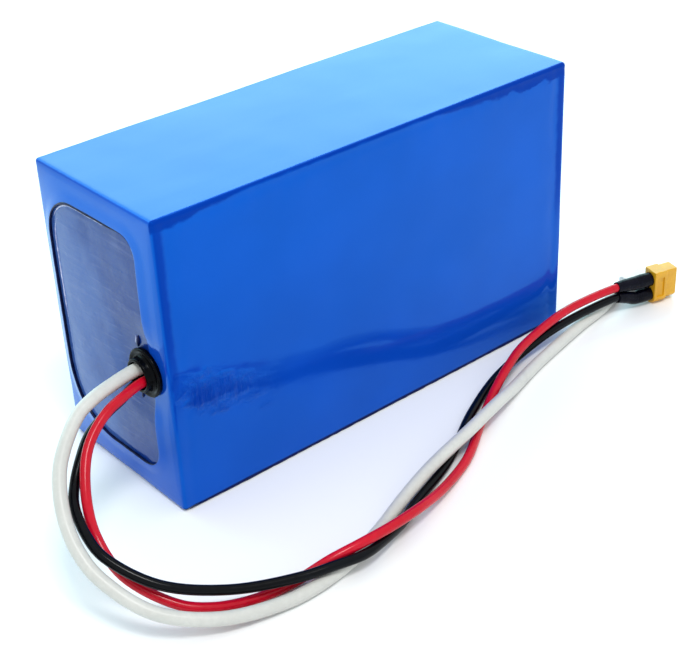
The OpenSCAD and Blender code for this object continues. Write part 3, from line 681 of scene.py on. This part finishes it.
def make_end_board(name, node, side):
    """Board bulging with the end, with a faint ridge inside the window and a round hole."""
    low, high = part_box(node)
    y_reach, z_reach = (high.y - low.y) / 2, (high.z - low.z) / 2
    near = side < 0
    cy, cz = (ENTRY_Y, ENTRY_Z) if near else (0.0, MID_Z)
    hole = NECK_R + 0.1 * MM if near else 0.4 * MM
    sides, steps = 288, 84
    inner_x = high.x if near else low.x
    rings = []
    for k in range(steps + 1):
        ring = []
        for i in range(sides):
            a = 2 * math.pi * i / sides
            reach = hole + (rect_reach(a, y_reach, z_reach, cy, cz) - hole) * k / steps
            y, z = cy + reach * math.cos(a), cz + reach * math.sin(a)
            gap = window_gap(y, z)
            mm_y, mm_z = y / MM, z / MM
            out = bulge(y, z, near) - BOARD_DEPTH
            out += 0.16 * MM * bell(gap, -3.2 * MM, 0.8 * MM) * smoothstep(-8 * MM, 12 * MM, y)
            out += 0.10 * MM * noise.noise(Vector((side * 4.0, mm_y / 11, mm_z / 13)))
            out += 0.05 * MM * noise.noise(Vector((side * 9.0, (mm_y + mm_z) / 2.2, mm_z / 9)))
            out = min(out, bulge(y, z, near) - BOARD_NEAREST)
            ring.append(Vector((side * (END_X[side] + out), y, z)))
        rings.append(ring)
    for ring in (rings[-1], rings[0]):
        rings.append([Vector((inner_x, p.y, p.z)) for p in ring])
    verts = [p for ring in rings for p in ring]
    board = mesh_object(name, verts, bridge(len(rings), sides, loop=True),
                        [MATERIALS["end_board"]])
    return settle(board, "end_board", node)


def make_grommet():
    """Rubber ring: flange with a groove, rolled collar, bore, neck and inner flange."""
    flange, collar = FLANGE_R, 6.6 * MM
    board_in = -(board_high.x + 0.1 * MM)
    deep_in = -GROMMET_IN_X
    # Inner flange and neck
    profile = [(BORE_R, deep_in + 0.3 * MM), (BORE_R + 0.3 * MM, deep_in),
               (8.3 * MM, deep_in), (8.6 * MM, deep_in + 0.3 * MM),
               (8.6 * MM, board_in - 0.1 * MM), (8.5 * MM, board_in), (NECK_R, board_in),
               (NECK_R, HALF_L), (flange - 0.3 * MM, HALF_L)]
    edge_r = 0.85 * MM
    for k in range(9):
        a = math.radians(-60 + 150 * k / 8)
        profile.append((flange - edge_r + edge_r * math.cos(a),
                        HALF_L + 1.15 * MM + edge_r * math.sin(a)))
    # Groove between the flange and the collar
    profile += [(8.0 * MM, HALF_L + 1.75 * MM), (7.6 * MM, HALF_L + 1.5 * MM),
                (7.2 * MM, HALF_L + 1.5 * MM), (6.8 * MM, HALF_L + 1.8 * MM),
                (6.55 * MM, HALF_L + 2.6 * MM)]
    # Rolled mouth of the collar
    top = HALF_L + 4.6 * MM
    mid_r = (collar + BORE_R) / 2
    roll = (collar - BORE_R) / 2
    for k in range(11):
        a = math.radians(180 * k / 10)
        profile.append((mid_r + roll * math.cos(a), top - roll + roll * math.sin(a)))
    profile += [(BORE_R, HALF_L + 2 * MM), (BORE_R + 0.05 * MM, HALF_L)]
    ring = lathe("rubber_grommet", profile, Vector((0, ENTRY_Y, ENTRY_Z)), Vector((-1, 0, 0)),
                 MATERIALS["grommet_rubber"])
    return settle(ring, "grommet_rubber", "grommet")


def on_end(y, z, side, off_board):
    """Point where a fold rests on the board, raised by a small distance."""
    near = side < 0
    return Vector((side * (END_X[side] + bulge(y, z, near) - FOLD_DEPTH + off_board), y, z))


def beads(name, runs, material, slot, sides=10):
    """Thin ridges along several runs of points, each tapered at both ends, as one piece."""
    verts, faces = [], []
    for path, thick in runs:
        base = len(verts)
        last = len(path) - 1
        for k, (p, u, v) in enumerate(path_frames(path)):
            taper = min(1.0, 0.25 + 6 * min(k, last - k) / last)
            wander = 1 + 0.35 * noise.noise(p * 400)
            for i in range(sides):
                a = 2 * math.pi * i / sides
                verts.append(p + (u * math.cos(a) + v * math.sin(a)) * thick * taper * wander)
        faces += [tuple(base + i for i in face) for face in bridge(len(path), sides)]
        faces.append(tuple(range(base, base + sides)))
        faces.append(tuple(range(len(verts) - 1, len(verts) - sides - 1, -1)))
    return settle(mesh_object(name, verts, faces, [material]), slot)


def inset_outline(inset):
    """The window's outline drawn in by a distance."""
    return outline((WINDOW_Y[0] + inset, WINDOW_Y[1] - inset),
                   (WINDOW_Z[0] + inset, WINDOW_Z[1] - inset),
                   {corner: r - inset for corner, r in WINDOW_R.items()})


def make_rims():
    """Borders of the cut film and slits by the grommet, dark with painted gap shade; clear folds,
    pale with painted highlight; folds at the base, dark with painted contact shadow.
    """
    front_top = SIDE_STEPS + CORNER_STEPS
    back_top = front_top + TOP_STEPS + CORNER_STEPS
    for side, label in ((-1, "near"), (1, "far")):
        near = side < 0
        edge = []
        for y, z in outline(WINDOW_Y, WINDOW_Z, WINDOW_R):
            out = bulge(y, z, near) + lip(y, z, near) - 0.05 * MM
            edge.append(Vector((side * (END_X[side] + out), y, z)))
        under_top = [p - Vector((0, 0, 0.2 * MM)) for p in edge[front_top + 8:back_top - 6]]
        # Rolled border of the cut film, coloured dark as painted shade of the gap beneath it
        beads("shaded_film_border_" + label,
              [(edge[front_top - 12:-6], 0.26 * MM), (under_top, 0.42 * MM)],
              SHADED_CUT_EDGE, "blue_wrap")
        # Clear folds on the board, coloured pale as painted highlight
        folds = []
        for inset, start, end, thick in ((1.15, front_top + 14, back_top - 6, 0.42),
                                         (0.5, 52, front_top - 8, 0.22),
                                         (3.2, back_top - 8, back_top + 52, 0.32)):
            line = inset_outline(inset * MM)[start:end]
            folds.append(([on_end(y, z, side, 0) for y, z in line], thick * MM))
        if near:
            folds.append(([on_end(ENTRY_Y + y * MM, ENTRY_Z + z * MM, side, 0.1 * MM)
                           for y, z in ((6.0, 8.6), (5.8, 10.0), (5.5, 11.4), (5.3, 12.6))],
                          0.42 * MM))
        beads("clear_film_folds_" + label, folds, HIGHLIT_CLEAR_FOLD, "end_board")
    # Fold along the foot of both long sides, coloured near black for the fold and as painted
    # contact shadow
    base_half, base_y, base_z = 0.975 * HALF_L, HALF_W - 0.2 * MM, 0.62 * MM
    runs = [([Vector((base_half * (t / 40 - 1), y, base_z)) for t in range(81)], 0.5 * MM)
            for y in (-base_y, base_y)]
    beads("film_fold_and_shadow_at_base", runs, FOLD_AND_BASE_SHADOW, "blue_wrap")
    # Slits by the grommet, coloured dark as painted shade inside them
    slits = [[(5.2, 8.0), (4.7, 9.6), (4.2, 11.4), (3.8, 13.2)],
             [(5.3, -10.6), (5.6, -11.8), (5.8, -13.0), (6.0, -13.9)]]
    beads("shaded_entry_slits", [([on_end(ENTRY_Y + y * MM, ENTRY_Z + z * MM, -1, 0) for y, z in slit],
                           thick * MM) for slit, thick in zip(slits, (0.75, 0.5))], SHADED_CUT_EDGE,
          "blue_wrap")


make_film()
make_rims()
make_end_board("near_end_panel", "window_board", -1)
make_end_board("far_end_panel", "far_end_board", 1)
make_grommet()


# ---------------------------------------------------------------- output connector and sleeves
def plug_point(x, y, z):
    """Point given along, across and above the connector's rear face."""
    c, s = math.cos(PLUG_TURN), math.sin(PLUG_TURN)
    return PLUG_AT + Vector((x * c - y * s, x * s + y * c, z))


def make_sleeve(name, route, height, node):
    """Shrunk tube over a wire's end and its solder cup, open at both ends, with soft creases."""
    ends = [Vector(p) * MM for p in route[-4:]] + [plug_point(-0.1 * MM, 0, height)]
    steps, sides = 10, 36
    path = catmull_rom(ends, steps)
    # Radii in millimetres at each point of the run
    bores = [2.0, 2.0, 2.15, 2.45, 2.45]
    outers = [2.4, 2.8, 3.1, 3.25, 3.15]
    frames = path_frames(path)

    def radius_at(radii, k):
        t = k / steps
        i = min(int(t), len(radii) - 2)
        return (radii[i] + (radii[i + 1] - radii[i]) * smoothstep(0, 1, t - i)) * MM

    def ring(k, radii, grow, creased):
        p, u, v = frames[k]
        points = []
        for i in range(sides):
            a = 2 * math.pi * i / sides
            r = radius_at(radii, k) + grow
            if creased:
                spot = Vector((math.cos(a) * 2.2, math.sin(a) * 2.2, k / 2.2 + height * 900))
                r += 0.07 * MM * noise.noise(spot)
                r -= 0.05 * MM * bell(k, 0, 1.2)
            points.append(p + (u * math.cos(a) + v * math.sin(a)) * r)
        return points

    last = len(path) - 1
    rings = [ring(k, outers, 0, True) for k in range(last + 1)]
    rings += [ring(last, bores, 0.1 * MM, False)]
    rings += [ring(k, bores, 0, False) for k in range(last, -1, -1)]
    rings.append(ring(0, bores, 0.1 * MM, False))
    sleeve = mesh_object(name, [p for r in rings for p in r], bridge(len(rings), sides, loop=True),
                         [MATERIALS["black_sleeve"]])
    return settle(sleeve, "black_sleeve", node)


def plug_section(inset, cut, recess):
    """Cross-section of the connector, its corners rounded; recess pulls in the side panels."""
    half = PLUG_T / 2 - inset
    low, high = inset, PLUG_H - min(inset, 0.3 * MM)
    r, steps = 0.45 * MM, 5
    corners = [(-half, high), (half, high), (half, low + cut), (half - cut, low),
               (-half + cut, low), (-half, low + cut)]
    points = []
    for k, corner in enumerate(corners):
        here = Vector(corner)
        before = (Vector(corners[k - 1]) - here).normalized()
        after = (Vector(corners[(k + 1) % len(corners)]) - here).normalized()
        start, end = here + before * r, here + after * r
        for i in range(steps + 1):
            t = i / steps
            points.append(start.lerp(here, t).lerp(here.lerp(end, t), t))
        # Panel borders, down one broad face and up the other
        if k in (1, 5):
            way = 1 if k == 1 else -1
            for z, sunk in ((12.95, 0), (12.75, 1), (8.3, 1), (4.0, 1), (3.8, 0))[::way]:
                points.append(Vector((way * (half - recess * sunk), z * MM)))
    return points


def make_housing():
    """Two-pole housing: rear block with a panel on each broad face, and a thinner front part."""
    step, panel = 0.7 * MM, 0.7 * MM
    rear, whole = PLUG_REAR_L, PLUG_REAR_L + PLUG_FRONT_L
    cut, cut_front = 2.4 * MM, 2.2 * MM
    # Distance along the plug, inset, size of the cut corners and depth of the panel
    stations = [(0.0, 0.30 * MM, cut, 0), (0.10 * MM, 0.10 * MM, cut, 0), (0.32 * MM, 0, cut, 0),
                (1.2 * MM, 0, cut, 0), (1.35 * MM, 0, cut, panel), (4.85 * MM, 0, cut, panel),
                (5.0 * MM, 0, cut, 0), (rear - 0.30 * MM, 0, cut, 0),
                (rear - 0.08 * MM, 0.09 * MM, cut, 0), (rear, 0.28 * MM, cut, 0),
                (rear + 0.02 * MM, step, cut_front, 0), (rear + 0.4 * MM, step, cut_front, 0),
                (whole - 0.30 * MM, step, cut_front, 0),
                (whole - 0.08 * MM, step + 0.10 * MM, cut_front, 0),
                (whole, step + 0.28 * MM, cut_front, 0)]
    rings = [[(x, p.x, p.y) for p in plug_section(inset, c, recess)]
             for x, inset, c, recess in stations]
    count = len(rings[0])
    verts = [p for ring in rings for p in ring]
    faces = bridge(len(rings), count)
    hole_sides = 40
    holes = []
    for x in (0.0, whole):
        for z in CONTACT_Z:
            holes.append(len(verts))
            for i in range(hole_sides):
                a = 2 * math.pi * i / hole_sides
                verts.append((x, HOLE_R * math.cos(a), z + HOLE_R * math.sin(a)))
    for start, end in ((holes[0], holes[2]), (holes[1], holes[3])):
        for i in range(hole_sides):
            j = (i + 1) % hole_sides
            faces.append((start + i, start + j, end + j, end + i))
    for base, pair, flip in ((0, holes[:2], False), ((len(rings) - 1) * count, holes[2:], True)):
        loops = [list(range(base, base + count))]
        loops += [list(range(h, h + hole_sides)) for h in pair]
        flat = [k for loop in loops for k in loop]
        plane = [[Vector((verts[k][1], verts[k][2], 0)) for k in loop] for loop in loops]
        for tri in tessellate_polygon(plane):
            ids = [flat[k] for k in tri]
            a, b, c = (Vector(verts[k][1:]) for k in ids)
            turn = (b - a).cross(c - a)
            faces.append(tuple(ids if (turn > 0) == flip else ids[::-1]))
    placed = [plug_point(*p) for p in verts]
    housing = mesh_object("output_connector_shell", placed, faces, [MATERIALS["amber_nylon"]],
                          smooth=False)
    return settle(housing, "amber_nylon", "connector_housing")


red_sleeve = make_sleeve("red_wire_end_sleeve", RED_ROUTE, CONTACT_Z[1], "red_contact_sleeve")
black_sleeve = make_sleeve("black_wire_end_sleeve", BLACK_ROUTE, CONTACT_Z[0],
                           "black_contact_sleeve")
housing = make_housing()


# ---------------------------------------------------------------- floor, lights, camera
def make_floor():
    m = Maker("studio_floor")
    tone = m.grain(300, 2)
    m.bump(m.grain(3, 2), 0.01)
    finish = m.finish(m.mix(m.span(tone, 0.3, 0.7), (0.88, 0.89, 0.90), (0.90, 0.905, 0.91)),
                      m.span(tone, 0.3, 0.7, 0.5, 0.6))
    size = 6.0
    floor = mesh_object("floor", [(-size, -size, 0), (size, -size, 0), (size, size, 0),
                                  (-size, size, 0)], [(0, 1, 2, 3)], [finish])


def area_light(name, place, target, size, power, colour=(1, 1, 1)):
    data = bpy.data.lights.new(name, "AREA")
    data.shape = "RECTANGLE"
    data.size, data.size_y = size
    data.energy = power
    data.color = colour
    obj = bpy.data.objects.new(name, data)
    bpy.context.scene.collection.objects.link(obj)
    obj.location = place
    obj.rotation_euler = (Vector(target) - Vector(place)).to_track_quat("-Z", "Y").to_euler()


def make_lights():
    area_light("back_softbox", (0.5, 1.5, 1.0), (0, 0, 0.08), (3.2, 1.3), 36, (0.42, 0.93, 1.0))
    area_light("top_light", (-0.25, -0.60, 1.35), (-0.05, -0.1, 0), (0.42, 0.34), 9)
    world = bpy.data.worlds.new("studio")
    world.use_nodes = True
    background = world.node_tree.nodes["Background"]
    background.inputs["Color"].default_value = (0.95, 0.99, 1, 1)
    background.inputs["Strength"].default_value = 0.96
    bpy.context.scene.world = world


def make_camera():
    """The photo's view, as it was fitted to the pack's corners."""
    azimuth, elevation, roll = (math.radians(a) for a in (-39.15, 30.83, -2.76))
    distance, side_step, rise = 3.106 * PACK_L, 0.036 * PACK_L, 0.090 * PACK_L
    back = Vector((math.sin(azimuth) * math.cos(elevation),
                   -math.cos(azimuth) * math.cos(elevation), math.sin(elevation)))
    right = (-back).cross(Vector((0, 0, 1))).normalized()
    up = right.cross(-back)
    turned_right = right * math.cos(roll) + up * math.sin(roll)
    turned_up = up * math.cos(roll) - right * math.sin(roll)
    data = bpy.data.cameras.new("camera")
    data.sensor_width = 36
    data.lens = 76.94
    data.clip_start, data.clip_end = 0.01, 50
    camera = bpy.data.objects.new("camera", data)
    bpy.context.scene.collection.objects.link(camera)
    place = back * distance + turned_right * side_step + turned_up * rise
    turn = Matrix((turned_right, turned_up, back)).transposed()
    camera.matrix_world = Matrix.Translation(place) @ turn.to_4x4()
    bpy.context.scene.camera = camera


make_floor()
make_lights()
make_camera()
bpy.context.scene.view_settings.view_transform = "Standard"

# ---------------------------------------------------------------- CAD pieces that stay
for part in frame["record"]["subparts"]:
    kept = frame["nodes"][part["node"]].data
    kept.materials.clear()
    kept.materials.append(MATERIALS[part["material_slot"]])
